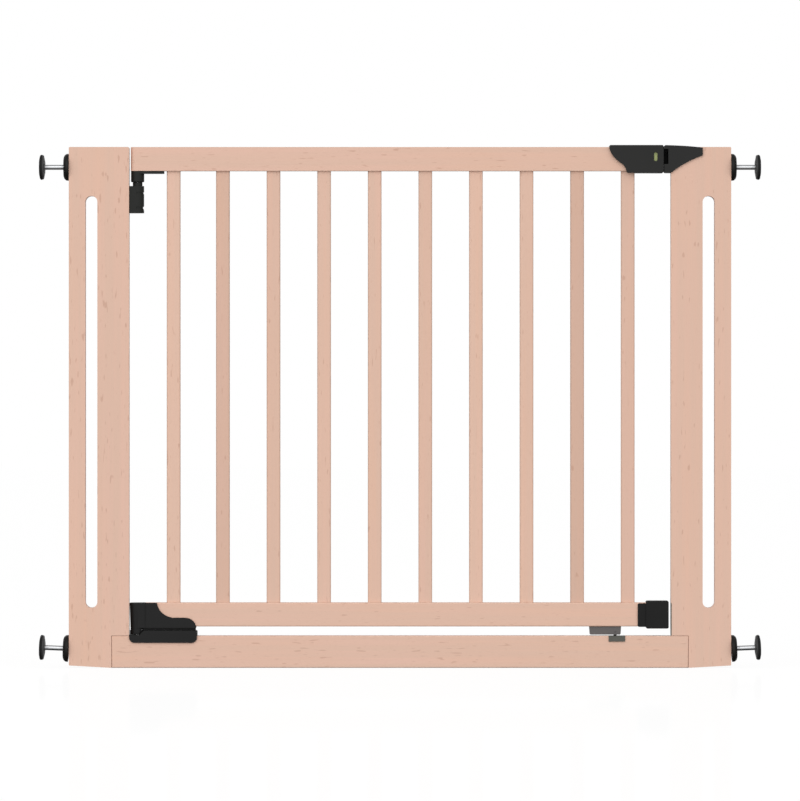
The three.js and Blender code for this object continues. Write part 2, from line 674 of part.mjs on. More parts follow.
// What both halves of the handle are hollowed by: the rail, the last bar, the latch and its slide.
function handleHollows() {
  const rail = RAIL_DEPTH / 2 + GAP;
  const ceiling = GATE_TOP + GAP;
  const floor = TOP_RAIL_LOW - GAP;
  const cavity = HANDLE_DEPTH / 2 - HANDLE_WALL;
  const barLeft = barX(BAR_COUNT - 1) - BAR_WIDTH / 2 - GAP;
  const barHalf = BAR_DEPTH / 2 + GAP;
  const slot = SLIDER.width / 2 + GAP;
  return [
    box(300, TOP_RAIL_RIGHT + GAP, -rail, rail, floor, ceiling),
    box(TOP_RAIL_RIGHT, HANDLE_RIGHT - HANDLE_WALL, -cavity, cavity, floor, ceiling),
    box(barLeft, barLeft + BAR_WIDTH + 2 * GAP, -barHalf, barHalf, 770, 780),
    box(NOSE_LEFT, 420, BOLT_FRONT - GAP, BOLT_BACK + GAP, NOSE_LOW - GAP, BOLT_TOP + GAP),
    box(SLIDER.left - LATCH_TRAVEL - GAP, SLIDER.right + GAP, -slot, slot, 800, 830),
    holeFor('handle_screw_1'),
    holeFor('handle_screw_2'),
  ];
}

function handleShell(y0, y1) {
  return cut(extrudeY(handleOutline(), y0, y1, 8), ...handleHollows());
}

function windowOpening() {
  const r = (WINDOW.right - WINDOW.left) / 2;
  const shape = roundedRect(WINDOW.left, WINDOW.right, WINDOW.low, WINDOW.high, r - 0.01);
  return extrudeY(shape, -30, -12, 6);
}

const SLIDER_LEG = { left: 386.4, right: 391.6, low: 801.3 };

function thumbSlider() {
  const half = SLIDER.width / 2;
  const plate = box(SLIDER.left, SLIDER.right, -half, half, GATE_TOP + GAP, SLIDER.top);
  const leg = box(SLIDER_LEG.left, SLIDER_LEG.right, -3, 5, SLIDER_LEG.low, GATE_TOP + 1);
  const ribs = [];
  for (let i = 0; i < 6; i += 1) {
    const x = SLIDER.left + 8 + i * 4;
    ribs.push(box(x, x + 1.6, -half + 2, half - 2, SLIDER.top - 0.8, SLIDER.top + 1));
  }
  return cut(join(plate, leg), ...ribs);
}

const SPRING = { x: 374.6, end: 401.6, z: 790, y: 1, coilR: 3.2, wireR: 0.45, turns: 7 };

function latchBolt() {
  const corner = 1.2;
  const block = roundedRect(BOLT_LEFT, NOSE_LEFT, BOLT_LOW, BOLT_TOP, corner);
  const nose = roundedRect(NOSE_LEFT - 5, BOLT_TIP, NOSE_LOW, BOLT_TOP, corner);
  const body = join(extrudeY(block, BOLT_FRONT, BOLT_BACK, 3), extrudeY(nose, BOLT_FRONT, BOLT_BACK, 3));
  const springR = SPRING.coilR + SPRING.wireR + GAP;
  const springPocket = alongX(cylinder(springR, BOLT_LEFT - 5, SPRING.end + GAP, 20));
  const legPocket = box(BOLT_LEFT - 1, SLIDER_LEG.right + GAP, -3 - GAP, 5 + GAP, 801, 820);
  return cut(body, springPocket.translate(0, SPRING.y, SPRING.z), legPocket);
}

class Helix extends THREE.Curve {
  constructor(radius, length, turns) {
    super();
    this.radius = radius;
    this.length = length;
    this.turns = turns;
  }

  getPoint(t, target = new THREE.Vector3()) {
    const angle = t * this.turns * Math.PI * 2;
    const y = this.radius * Math.cos(angle);
    const z = this.radius * Math.sin(angle);
    return target.set(t * this.length, y, z);
  }
}

function latchSpring() {
  const { coilR, wireR, turns } = SPRING;
  const length = SPRING.end - SPRING.x - 2 * wireR;
  const section = new THREE.Shape();
  section.absarc(0, 0, wireR, 0, Math.PI * 2);
  const options = { steps: turns * 10, curveSegments: 2, extrudePath: new Helix(coilR, length, turns) };
  const wire = new THREE.ExtrudeGeometry(section, options);
  return wire.translate(SPRING.x + wireR, SPRING.y, SPRING.z);
}

// The flag shows in the window while the bolt is out, and uncovers the red plate when it is in.
const FLAG = { front: -12.3, thick: 1.4, low: 784 };

function indicatorFlag() {
  const { low, thick, front } = FLAG;
  const face = box(394, 405.5, front, front + thick, low, WINDOW.high + 1.5);
  const arm = box(395, 404, front + thick - 0.1, BOLT_FRONT - GAP, low, low + 4.8);
  return join(face, arm);
}

function indicatorBack() {
  const front = FLAG.front + FLAG.thick + 0.4;
  return box(391, NOSE_LEFT, front, front + 1.2, FLAG.low + 5.5, 812);
}

// ---------------------------------------------------------------- keeper on the latch post
const RECESS = { right: 419.8, low: NOSE_LOW - 0.7, high: 812, back: 7 };
const KEEPER_LOW = 774.8;
const KEEPER_TOP = 817.8;

function keeper() {
  const shape = new THREE.Shape();
  const corner = 2.2;
  shape.moveTo(KEEPER_LEFT, KEEPER_LOW + corner);
  shape.lineTo(KEEPER_LEFT, KEEPER_TOP - corner);
  shape.quadraticCurveTo(KEEPER_LEFT, KEEPER_TOP, KEEPER_LEFT + corner, KEEPER_TOP);
  shape.quadraticCurveTo(446, KEEPER_TOP - 0.8, KEEPER_RIGHT, KEEPER_TOP - 3.9);
  shape.lineTo(KEEPER_RIGHT, 801.6);
  shape.bezierCurveTo(458, 796.5, 438, 786, 424.6, KEEPER_LOW);
  shape.lineTo(KEEPER_LEFT + corner, KEEPER_LOW);
  shape.quadraticCurveTo(KEEPER_LEFT, KEEPER_LOW, KEEPER_LEFT, KEEPER_LOW + corner);
  const body = extrudeY(shape, -KEEPER_DEPTH / 2, KEEPER_DEPTH / 2, 10);
  const saddle = POST_DEPTH / 2 + GAP;
  const overPost = box(OPENING_HALF - GAP, 500, -saddle, saddle, 700, GATE_TOP + GAP);
  const recess = box(400, RECESS.right, -30, RECESS.back, RECESS.low, RECESS.high);
  return cut(body, overPost, recess, holeFor('keeper_screw'));
}

// ---------------------------------------------------------------- swing stop
function stopOutline() {
  const left = STOP_LEFT + STOP_SLANT;
  const right = STOP_RIGHT - STOP_SLANT;
  const shape = new THREE.Shape();
  shape.moveTo(STOP_LEFT, STOP_HIGH);
  shape.lineTo(left, STOP_LOW + STOP_CORNER);
  shape.quadraticCurveTo(left, STOP_LOW, left + STOP_CORNER, STOP_LOW);
  shape.lineTo(right - STOP_CORNER, STOP_LOW);
  shape.quadraticCurveTo(right, STOP_LOW, right, STOP_LOW + STOP_CORNER);
  shape.lineTo(STOP_RIGHT, STOP_HIGH);
  return shape;
}

function stopSlider() {
  const body = extrudeY(stopOutline(), STOP_FRONT, STOP_BACK, 4);
  const tee = extrudeX(teeSection(0, STOP_HIGH - 4, STOP_HEAD_HIGH), STOP_LEFT + 1, STOP_RIGHT - 1);
  const nub = box(NUB_X - 2, NUB_X + 2, -3, STOP_BACK, STOP_LOW - 1, STOP_LOW + 1);
  return join(body, tee, nub);
}

// The lip behind the nub is what keeps the door from swinging to the back.
function stopPlate() {
  const { left, right, low } = STOP_PLATE;
  const front = -POST_DEPTH / 2 - GAP;
  const flange = box(left, right, front - 1.5, 7.5, STOP_REBATE_LOW + GAP, SILL_TOP);
  const flap = box(left, right, front - 1.5, front, low, SILL_TOP);
  const lip = box(NUB_X - 2.5, NUB_X + 2.5, 4.2, 5.4, SILL_TOP - 0.5, SILL_TOP + 3);
  return cut(join(flange, flap, lip), holeFor('stop_plate_screw'));
}

// ---------------------------------------------------------------- assembly
place('post_left', post(LEFT, holeFor('sill_screw_left'), holeFor('socket_screw')), beech);
place('post_right', post(
  RIGHT, holeFor('sill_screw_right'), holeFor('keeper_screw'), strikeRebate(),
), beech);
place('sill', sill(), beech);
place('strike_plate', strikePlate(), darkMetal);

place('top_rail', topRail(), beech);
place('bottom_rail', bottomRail(), beech);
for (let i = 0; i < BAR_COUNT; i += 1) {
  const name = `bar_${String(i + 1).padStart(2, '0')}`;
  place(name, bar(), beech).position.x = barX(i);
}

place('lower_hinge_base', hingeBase(), blackPlastic);
place('lower_hinge_pin', hingePin(), zincSteel);
place('lower_hinge_bush', lowerBush(), greyPlastic);
place('lower_hinge_shoe', hingeShoe(), blackPlastic);
place('top_hinge_socket', hingeSocket(), blackPlastic);
place('top_hinge_bush', upperBush(), blackPlastic);
place('top_hinge_bracket', hingeBracket(), blackPlastic);
place('top_hinge_pin', upperPin(), zincSteel);

const frontHalf = [-HANDLE_DEPTH / 2, -GAP / 2];
const backHalf = [GAP / 2, HANDLE_DEPTH / 2];
place('handle_front_shell', cut(handleShell(...frontHalf), windowOpening()), blackPlastic);
place('handle_back_shell', handleShell(...backHalf), blackPlastic);
place('thumb_slider', thumbSlider(), blackPlastic);
place('latch_bolt', latchBolt(), blackPlastic);
place('latch_spring', latchSpring(), zincSteel);
place('indicator_flag', indicatorFlag(), greenPlastic);
place('indicator_back', indicatorBack(), redPlastic);
place('keeper', keeper(), blackPlastic);
place('rail_end_cap', railEndCap(), blackPlastic);
place('stop_slider', stopSlider(), greyPlastic);
place('stop_plate', stopPlate(), greyMetal);

for (const name of Object.keys(SCREWS)) placeScrew(name);

makeSpindle('upper_left', LEFT, false);
makeSpindle('upper_right', RIGHT, false);
makeSpindle('lower_left', LEFT, true);
makeSpindle('lower_right', RIGHT, true);

export default gate;
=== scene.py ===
"""The looks of a wooden pressure-fit safety gate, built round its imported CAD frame.

Blender works in metres here. Outlines and edge radii are written in millimetres and scaled by MM.
"""

import json
import math
import random

import bmesh
import bpy
from mathutils import Matrix, Vector

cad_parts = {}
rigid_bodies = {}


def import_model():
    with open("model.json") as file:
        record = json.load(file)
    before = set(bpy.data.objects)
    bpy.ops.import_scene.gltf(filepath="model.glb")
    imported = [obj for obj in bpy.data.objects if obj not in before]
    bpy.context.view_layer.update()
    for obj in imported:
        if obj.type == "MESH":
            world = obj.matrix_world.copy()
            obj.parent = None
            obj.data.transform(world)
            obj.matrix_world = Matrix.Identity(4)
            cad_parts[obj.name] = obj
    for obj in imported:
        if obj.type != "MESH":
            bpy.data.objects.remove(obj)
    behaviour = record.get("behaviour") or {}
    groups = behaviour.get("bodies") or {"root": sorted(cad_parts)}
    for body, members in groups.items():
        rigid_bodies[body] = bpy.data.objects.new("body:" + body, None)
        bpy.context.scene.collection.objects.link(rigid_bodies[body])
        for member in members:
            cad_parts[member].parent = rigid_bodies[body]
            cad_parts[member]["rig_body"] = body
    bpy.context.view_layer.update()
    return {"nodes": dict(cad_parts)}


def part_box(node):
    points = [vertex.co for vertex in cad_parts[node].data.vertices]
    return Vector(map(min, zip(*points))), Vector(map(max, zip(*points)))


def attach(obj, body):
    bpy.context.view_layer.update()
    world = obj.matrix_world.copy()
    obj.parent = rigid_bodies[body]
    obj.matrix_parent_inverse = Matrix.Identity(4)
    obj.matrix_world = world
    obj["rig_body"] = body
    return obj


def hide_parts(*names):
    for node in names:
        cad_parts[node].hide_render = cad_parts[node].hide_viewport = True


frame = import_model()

MM = 0.001

# ------------------------------------------------------------------ measures shared with the frame
GAP = 0.3  # clearance between neighbouring pieces
HINGE_X = -411.0
PIN_R = 4.0
BUSH_R = 7.6
CAM_RISE = 7.2
GATE_TOP = 815
RAIL_HALF = 10  # half of the rails' depth
HINGE_POCKET_RIGHT = -396
HINGE_POCKET_LOW = 47.4
LATCH_TRAVEL = 9.2
STOP_TRAVEL = 13.5
UPPER_SPINDLE_Z = 783.6
LOWER_SPINDLE_Z = 29.8
LOWER_TILT_DEG = 2.3  # the lower spindles point a little upwards
CORNERS = ("upper_left", "upper_right", "lower_left", "lower_right")
BARS = [f"bar_{i:02d}" for i in range(1, 11)]

# Roundings of the boards' and mouldings' edges
BOARD_EDGE = 1.9
BAR_EDGE = 2.6
MOULDING_EDGE = 1.5


def span(node):
    """A CAD node's box in millimetres: ((x0, x1), (y0, y1), (z0, z1))."""
    low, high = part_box(node)
    return tuple((low[k] / MM, high[k] / MM) for k in range(3))


# ------------------------------------------------------------------ outlines
def fillet(corners, steps=8):
    """A closed outline from corners (x, y, radius), each rounded by an arc of that radius."""
    outline = []
    count = len(corners)
    for i, (x, y, radius) in enumerate(corners):
        here = Vector((x, y))
        if radius <= 0:
            outline.append((x, y))
            continue
        before = (Vector(corners[i - 1][:2]) - here).normalized()
        after = (Vector(corners[(i + 1) % count][:2]) - here).normalized()
        half = before.angle(after) / 2
        centre = here + (before + after).normalized() * (radius / math.sin(half))
        start = here + before * (radius / math.tan(half)) - centre
        end = here + after * (radius / math.tan(half)) - centre
        turn = start.angle_signed(end)
        for k in range(steps + 1):
            spoke = start.copy()
            spoke.rotate(Matrix.Rotation(-turn * k / steps, 2))
            outline.append(tuple(centre + spoke))
    return outline


def rectangle(x0, x1, y0, y1, radius=0.0, steps=8):
    return fillet([(x0, y0, radius), (x1, y0, radius), (x1, y1, radius), (x0, y1, radius)], steps)


def bezier(start, handle_1, handle_2, end, steps=20):
    """Points along a cubic curve, without its last point."""
    a, b, c, d = (Vector(p) for p in (start, handle_1, handle_2, end))
    points = []
    for k in range(steps):
        t = k / steps
        s = 1 - t
        points.append(tuple(a * s**3 + b * (3 * s * s * t) + c * (3 * s * t * t) + d * t**3))
    return points


def arc(cx, cy, radius, from_deg, to_deg, steps=16):
    points = []
    for k in range(steps + 1):
        angle = math.radians(from_deg + (to_deg - from_deg) * k / steps)
        points.append((cx + radius * math.cos(angle), cy + radius * math.sin(angle)))
    return points


# ------------------------------------------------------------------ meshes, all in millimetres
PLANES = {
    "x": lambda a, b, h: (h, a, b),
    "y": lambda a, b, h: (a, h, b),
    "z": lambda a, b, h: (a, b, h),
}


def prism_mesh(loops, axis, low, high, low_edge=0.0, high_edge=0.0, rounds=4):
    """An outline with holes, stretched along an axis, with its two rims rounded."""
    put = PLANES[axis]
    along = "xyz".index(axis)
    bm = bmesh.new()
    for loop in loops:
        verts = [bm.verts.new(put(a, b, low)) for a, b in loop]
        for i, vert in enumerate(verts):
            bm.edges.new((verts[i - 1], vert))
    bmesh.ops.triangle_fill(bm, use_beauty=True, use_dissolve=False, edges=bm.edges[:])
    grown = bmesh.ops.extrude_face_region(bm, geom=bm.faces[:], use_keep_orig=True)
    moved = [g for g in grown["geom"] if isinstance(g, bmesh.types.BMVert)]
    bmesh.ops.translate(bm, vec=put(0, 0, high - low), verts=moved)
    bmesh.ops.recalc_face_normals(bm, faces=bm.faces[:])
    for level, width in ((low, low_edge), (high, high_edge)):
        if width > 0:
            round_rim(bm, along, level, width, rounds)
    return bm


def round_rim(bm, along, level, width, rounds):
    def in_level(edge):
        return all(abs(vert.co[along] - level) < 1e-4 for vert in edge.verts)

    sharp = 0.5
    rim = [e for e in bm.edges if in_level(e) and e.is_manifold and e.calc_face_angle() > sharp]
    bmesh.ops.bevel(
        bm, geom=rim, offset=width, offset_type="OFFSET", segments=rounds,
        profile=0.5, affect="EDGES", clamp_overlap=True,
    )


def lathe_mesh(profile, steps=72):
    """Turned about Z from (radius, height) pairs. A profile off the axis closes on itself."""
    bm = bmesh.new()
    rings = []
    for radius, height in profile:
        if radius < 1e-6:
            rings.append([bm.verts.new((0, 0, height))] * steps)
            continue
        ring = []
        for k in range(steps):
            angle = 2 * math.pi * k / steps
            ring.append(bm.verts.new((radius * math.cos(angle), radius * math.sin(angle), height)))
        rings.append(ring)
    closes = profile[0][0] > 1e-6
    for i in range(len(rings) if closes else len(rings) - 1):
        bridge(bm, rings[i], rings[(i + 1) % len(rings)])
    bmesh.ops.recalc_face_normals(bm, faces=bm.faces[:])
    return bm


def bridge(bm, lower, upper):
    count = len(lower)
    for k in range(count):
        n = (k + 1) % count
        corners = []
        for vert in (lower[k], lower[n], upper[n], upper[k]):
            if vert not in corners:
                corners.append(vert)
        if len(corners) > 2:
            bm.faces.new(corners)


def rod_mesh(radius, low, high, steps=32):
    return lathe_mesh([(0, low), (radius, low), (radius, high), (0, high)], steps)


def box_mesh(x0, x1, y0, y1, z0, z1):
    bm = bmesh.new()
    bmesh.ops.create_cube(bm, size=1)
    bmesh.ops.scale(bm, vec=(x1 - x0, y1 - y0, z1 - z0), verts=bm.verts[:])
    middle = ((x0 + x1) / 2, (y0 + y1) / 2, (z0 + z1) / 2)
    bmesh.ops.translate(bm, vec=middle, verts=bm.verts[:])
    return bm


def move(bm, place):
    bmesh.ops.translate(bm, vec=place, verts=bm.verts[:])
    return bm


def aim(bm, place, direction):
    """Moves a mesh made along +Z so that it starts at a place and points along a direction."""
    turn = Vector((0, 0, 1)).rotation_difference(Vector(direction)).to_matrix().to_4x4()
    bmesh.ops.transform(bm, matrix=Matrix.Translation(place) @ turn, verts=bm.verts[:])
    return bm


# ------------------------------------------------------------------ pieces
SMOOTH_DEG = 32


def new_piece(name, bm):
    """An object in metres from a mesh in millimetres."""
    bmesh.ops.remove_doubles(bm, verts=bm.verts[:], dist=0.0005)
    bmesh.ops.recalc_face_normals(bm, faces=bm.faces[:])
    bmesh.ops.scale(bm, vec=(MM, MM, MM), verts=bm.verts[:])
    mesh = bpy.data.meshes.new(name)
    bm.to_mesh(mesh)
    bm.free()
    piece = bpy.data.objects.new(name, mesh)
    bpy.context.scene.collection.objects.link(piece)
    return shade(piece)


def shade(piece):
    piece.data.polygons.foreach_set("use_smooth", [True] * len(piece.data.polygons))
    piece.data.set_sharp_from_angle(angle=math.radians(SMOOTH_DEG))
    return piece


def combine(piece, operation, meshes):
    """Joins meshes to a piece, or cuts them out of it."""
    for bm in meshes:
        tool = new_piece("tool", bm)
        change = piece.modifiers.new("change", "BOOLEAN")
        change.operation = operation
        change.object = tool
        change.solver = "EXACT"
        graph = bpy.context.evaluated_depsgraph_get()
        made = bpy.data.meshes.new_from_object(piece.evaluated_get(graph))
        piece.modifiers.remove(change)
        piece.data = made
        bpy.data.objects.remove(tool)
    shade(piece)


def carve(piece, *meshes):
    combine(piece, "DIFFERENCE", meshes)


def weld(piece, *meshes):
    combine(piece, "UNION", meshes)


def prism(name, loops, axis, low, high, low_edge=0.0, high_edge=0.0, rounds=4):
    return new_piece(name, prism_mesh(loops, axis, low, high, low_edge, high_edge, rounds))


def refined(node, edge, rounds=2):
    """A copy of a CAD node's mesh with its sharp edges rounded."""
    bm = bmesh.new()
    bm.from_mesh(frame["nodes"][node].data)
    bmesh.ops.scale(bm, vec=(1 / MM, 1 / MM, 1 / MM), verts=bm.verts[:])
    bmesh.ops.remove_doubles(bm, verts=bm.verts[:], dist=0.002)
    bmesh.ops.dissolve_limit(bm, angle_limit=math.radians(1), verts=bm.verts[:], edges=bm.edges[:])
    piece = new_piece(f"{node}_fine", bm)
    bevel = piece.modifiers.new("rounded_edges", "BEVEL")
    bevel.width = edge * MM
    bevel.segments = rounds
    bevel.limit_method = "ANGLE"
    bevel.angle_limit = math.radians(35)
    bevel.harden_normals = True
    return piece


def settle(piece, material, slot, *nodes):
    """Gives a piece its material and the body of the CAD nodes that it stands for, and hides those
    nodes. The slot is not used.
    """
    piece.data.materials.clear()
    piece.data.materials.append(material)
    even = piece.modifiers.new("even_normals", "WEIGHTED_NORMAL")
    even.keep_sharp = True
    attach(piece, frame["nodes"][nodes[0]]["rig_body"])
    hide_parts(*nodes)


def fixing_hole(node, axis):
    """The clearance hole of a screw or pin that lies along an axis, a little longer than it is."""
    spans = span(node)
    along = "xyz".index(axis)
    across = [spans[k] for k in range(3) if k != along]
    radius = max(b - a for a, b in across) / 2 + GAP
    low, high = spans[along]
    centre = [(a + b) / 2 for a, b in spans]
    direction = [0, 0, 0]
    centre[along] = low - 2
    direction[along] = 1
    return aim(rod_mesh(radius, 0, high - low + 4), centre, direction)


# ------------------------------------------------------------------ materials
def linear(red, green, blue):
    """A colour seen as 0 to 255, as the shader wants it."""
    channels = []
    for value in (red, green, blue):
        c = value / 255
        channels.append(c / 12.92 if c <= 0.04045 else ((c + 0.055) / 1.055) ** 2.4)
    return (*channels, 1.0)


def tinted(color, *factors):
    """A colour with its channels multiplied by one factor, or by a factor each."""
    factors = factors * 3 if len(factors) == 1 else factors
    return tuple(min(1.0, c * f) for c, f in zip(color, factors)) + (1.0,)


def gray(value):
    return (value, value, value, 1.0)


class Nodes:
    """A node tree filled one node at a time. A socket given as an input is linked."""

    def __init__(self, owner):
        owner.use_nodes = True
        self.tree = owner.node_tree
        self.tree.nodes.clear()

    def join(self, value, socket):
        if isinstance(value, bpy.types.NodeSocket):
            self.tree.links.new(value, socket)
        else:
            socket.default_value = value

    def add(self, kind, inputs=None, **settings):
        node = self.tree.nodes.new(kind)
        for key, value in settings.items():
            setattr(node, key, value)
        for key, value in (inputs or {}).items():
            self.join(value, node.inputs[key])
        return node

    def spread(self, value, from_low, from_high, to_low, to_high, curve="LINEAR"):
        inputs = {0: value, 1: from_low, 2: from_high, 3: to_low, 4: to_high}
        node = self.add("ShaderNodeMapRange", inputs, interpolation_type=curve)
        return node.outputs["Result"]


class Shader(Nodes):
    """A new material and its nodes."""

    def __init__(self, name):
        self.material = bpy.data.materials.new(name)
        super().__init__(self.material)

    def coordinates(self):
        return self.add("ShaderNodeTexCoord").outputs["Object"]

    def stretched(self, vector, scale):
        return self.add("ShaderNodeMapping", {"Vector": vector, "Scale": scale}).outputs["Vector"]

    def noise(self, vector, scale, detail=2.0, roughness=0.5):
        inputs = {"Vector": vector, "Scale": scale, "Detail": detail, "Roughness": roughness}
        return self.add("ShaderNodeTexNoise", inputs).outputs["Fac"]

    def mix(self, factor, first, second, blend="MIX"):
        node = self.add("ShaderNodeMix", data_type="RGBA", blend_type=blend)
        for index, value in ((0, factor), (6, first), (7, second)):
            self.join(value, node.inputs[index])
        return node.outputs[2]

    def grays(self, value):
        return self.add("ShaderNodeCombineColor", {0: value, 1: value, 2: value}).outputs[0]

    def finish(self, color, roughness, height, depth, **plain):
        bump = {"Height": height, "Distance": depth, "Strength": 1.0}
        normal = self.add("ShaderNodeBump", bump).outputs["Normal"]
        inputs = {"Base Color": color, "Roughness": roughness, "Normal": normal, **plain}
        surface = self.add("ShaderNodeBsdfPrincipled", inputs).outputs["BSDF"]
        self.add("ShaderNodeOutputMaterial", {"Surface": surface})
        return self.material


BEECH = linear(223, 187, 167)
BEECH_FLECK = linear(176, 130, 108)


def beech(name, grain, seed, tint=1.0):
    """Clear-lacquered steamed beech: an even pinkish tone, fine fibres and short dark flecks."""
    s = Shader(name)
    shift = tuple(random.Random(seed).uniform(-5, 5) for _ in range(3))
    turn = (0, 0, 0) if grain == "z" else (0, math.radians(90), 0)
    place = {"Vector": s.coordinates(), "Location": shift, "Rotation": turn}
    board = s.add("ShaderNodeMapping", place).outputs["Vector"]
    clouds = s.noise(s.stretched(board, (8, 8, 2.2)), 1.0, 3.0, 0.55)
    bands = s.noise(s.stretched(board, (75, 75, 1.6)), 1.0, 2.0, 0.6)
    fibres = s.noise(s.stretched(board, (800, 800, 12)), 1.0, 2.0, 0.6)
    rays = s.noise(s.stretched(board, (330, 330, 60)), 1.0, 0.0)
    pores = s.noise(s.stretched(board, (1500, 1500, 160)), 1.0, 0.0)
    base = tinted(BEECH, tint)
    warm = tinted(base, 1.015, 0.965, 0.925)
    rosy = tinted(base, 1.02, 0.985, 1.0)
    tone = s.mix(s.spread(clouds, 0.35, 0.65, 0, 1), warm, rosy)
    tone = s.mix(s.spread(bands, 0.35, 0.65, 0.0, 1.0), tinted(base, 0.97), tone)
    streaks = s.spread(fibres, 0.3, 0.7, 0.985, 1.01)
    tone = s.mix(1.0, tone, s.grays(streaks), "MULTIPLY")
    tone = s.mix(s.spread(rays, 0.74, 0.81, 0.0, 0.36), tone, BEECH_FLECK)
    tone = s.mix(s.spread(pores, 0.67, 0.75, 0.0, 0.10), tone, BEECH_FLECK)
    rough = s.spread(fibres, 0.2, 0.8, 0.42, 0.56)
    plain = {"Specular IOR Level": 0.25, "Coat Weight": 0.06, "Coat Roughness": 0.35}
    return s.finish(tone, rough, fibres, 0.00005, **plain)


def moulded(name, color, roughness=0.45, specular=0.25, wear=1.35):
    """Moulded plastic with a fine spark-eroded grain and slightly paler patches."""
    s = Shader(name)
    coords = s.coordinates()
    fine = s.noise(coords, 2600, 1.0)
    patches = s.noise(coords, 22, 3.0, 0.55)
    tone = s.mix(s.spread(patches, 0.35, 0.75, 0.0, 0.4), color, tinted(color, wear))
    rough = s.spread(patches, 0.3, 0.7, roughness - 0.05, roughness + 0.05)
    return s.finish(tone, rough, fine, 0.00002, **{"Specular IOR Level": specular})


def rubber(name, color):
    """Matt rubber with a little dust on it."""
    s = Shader(name)
    coords = s.coordinates()
    fine = s.noise(coords, 1800, 2.0, 0.6)
    dust = s.noise(coords, 60, 4.0, 0.6)
    tone = s.mix(s.spread(dust, 0.45, 0.75, 0.0, 0.35), color, tinted(color, 1.8))
    rough = s.spread(dust, 0.3, 0.7, 0.6, 0.75)
    return s.finish(tone, rough, fine, 0.00005, **{"Specular IOR Level": 0.2})


def steel(name, color, roughness=0.22, metallic=1.0):
    """Plated or painted steel with a faint mottle and drawn lines."""
    s = Shader(name)
    coords = s.coordinates()
    mottle = s.noise(coords, 240, 4.0, 0.6)
    drawn = s.noise(s.stretched(coords, (25, 900, 900)), 1.0, 2.0, 0.6)
    tone = s.mix(s.spread(mottle, 0.35, 0.7, 0.0, 0.5), color, tinted(color, 0.82))
    rough = s.spread(drawn, 0.3, 0.7, roughness - 0.05, roughness + 0.08)
    return s.finish(tone, rough, drawn, 0.00001, Metallic=metallic)


BLACK = moulded("black_plastic", linear(27, 27, 26), 0.5)
HINGE_BLACK = moulded("hinge_plastic", linear(30, 31, 29), 0.5, 0.2)
SHOE_BLACK = moulded("shoe_plastic", linear(22, 22, 22), 0.5, 0.2)
CAP_BLACK = moulded("cap_plastic", linear(13, 13, 13), 0.5, 0.2)
# The latch bolt's black is painted darker than the other black plastics, as painted shade for the
# keeper's recess around it
SHADED_BOLT_BLACK = moulded("bolt_plastic_painted_shade", linear(5, 5, 5), 0.6, 0.08)
COLLAR_BLACK = moulded("collar_plastic", linear(21, 20, 18), 0.5, 0.2)
HUB_GREY = moulded("hub_plastic", linear(58, 58, 58), 0.5, 0.3)
GREY = moulded("grey_plastic", linear(96, 92, 91), 0.5, 0.25, 1.12)
GREEN = moulded("green_plastic", linear(156, 164, 106), 0.4, 0.4, 1.15)
RED = moulded("red_plastic", linear(179, 50, 42), 0.4, 0.4, 1.15)
RUBBER = rubber("black_rubber", linear(24, 24, 24))
ZINC = steel("zinc_steel", linear(204, 205, 207), 0.16)
GREY_METAL = steel("grey_metal", linear(84, 83, 76), 0.45, 0.3)
DARK_METAL = steel("dark_metal", linear(132, 130, 120), 0.45, 0.3)


# ------------------------------------------------------------------ the wooden frame
def spindle_places():
    """Where each spindle leaves its post, and the way it points."""
    tilt = math.radians(LOWER_TILT_DEG)
    places = {}
    for name in CORNERS:
        side = -1 if name.endswith("left") else 1
        outer = span("post_left")[0][0] if side < 0 else span("post_right")[0][1]
        if name.startswith("upper"):
            places[name] = (Vector((outer, 0, UPPER_SPINDLE_Z)), Vector((side, 0, 0)))
        else:
            direction = Vector((side * math.cos(tilt), 0, math.sin(tilt)))
            places[name] = (Vector((outer, 0, LOWER_SPINDLE_Z)), direction)
    return places


SPINDLES = spindle_places()


def spindle_bore(name):
    place, direction = SPINDLES[name]
    return aim(rod_mesh(PIN_R + GAP, -61, 20), place, direction)


def make_post(side):
    name = "left" if side < 0 else "right"
    node = f"post_{name}"
    (x0, x1), (y0, y1), (z0, z1) = span(node)
    inner, outer = (x1, x0) if side < 0 else (x0, x1)
    sill_top = span("sill")[2][1] + GAP
    sill_end = inner + side * 27.6
    foot_rise = 3.7
    slot_middle = inner + side * 59.0
    slot_low, slot_high, slot_r = 93.8, 738.5, 9.5
    outline = fillet([
        (inner, sill_top, 0), (sill_end, sill_top, 0), (sill_end, z0, 0.5),
        (outer, z0 + foot_rise, 1.5), (outer, z1, 1.8), (inner, z1, 1.8),
    ], 5)
    slot = arc(slot_middle, slot_high - slot_r, slot_r, 0, 180, 20)
    slot += arc(slot_middle, slot_low + slot_r, slot_r, 180, 360, 20)
    post = prism(f"{node}_board", [outline, slot], "y", y0, y1, BOARD_EDGE, BOARD_EDGE)
    holes = [spindle_bore(f"upper_{name}"), spindle_bore(f"lower_{name}")]
    holes.append(fixing_hole(f"sill_screw_{name}", "z"))
    if side < 0:
        holes.append(fixing_hole("socket_screw", "x"))
    else:
        (sx0, sx1), _, (_, sz1) = span("strike_plate")
        holes.append(fixing_hole("keeper_screw", "y"))
        holes.append(box_mesh(sx0 - 5, sx1 + GAP, -20, 20, sill_top - 5, sz1 + GAP))
    carve(post, *holes)
    settle(post, beech(f"beech_{node}", "z", 11 if side < 0 else 12), "beech", node)


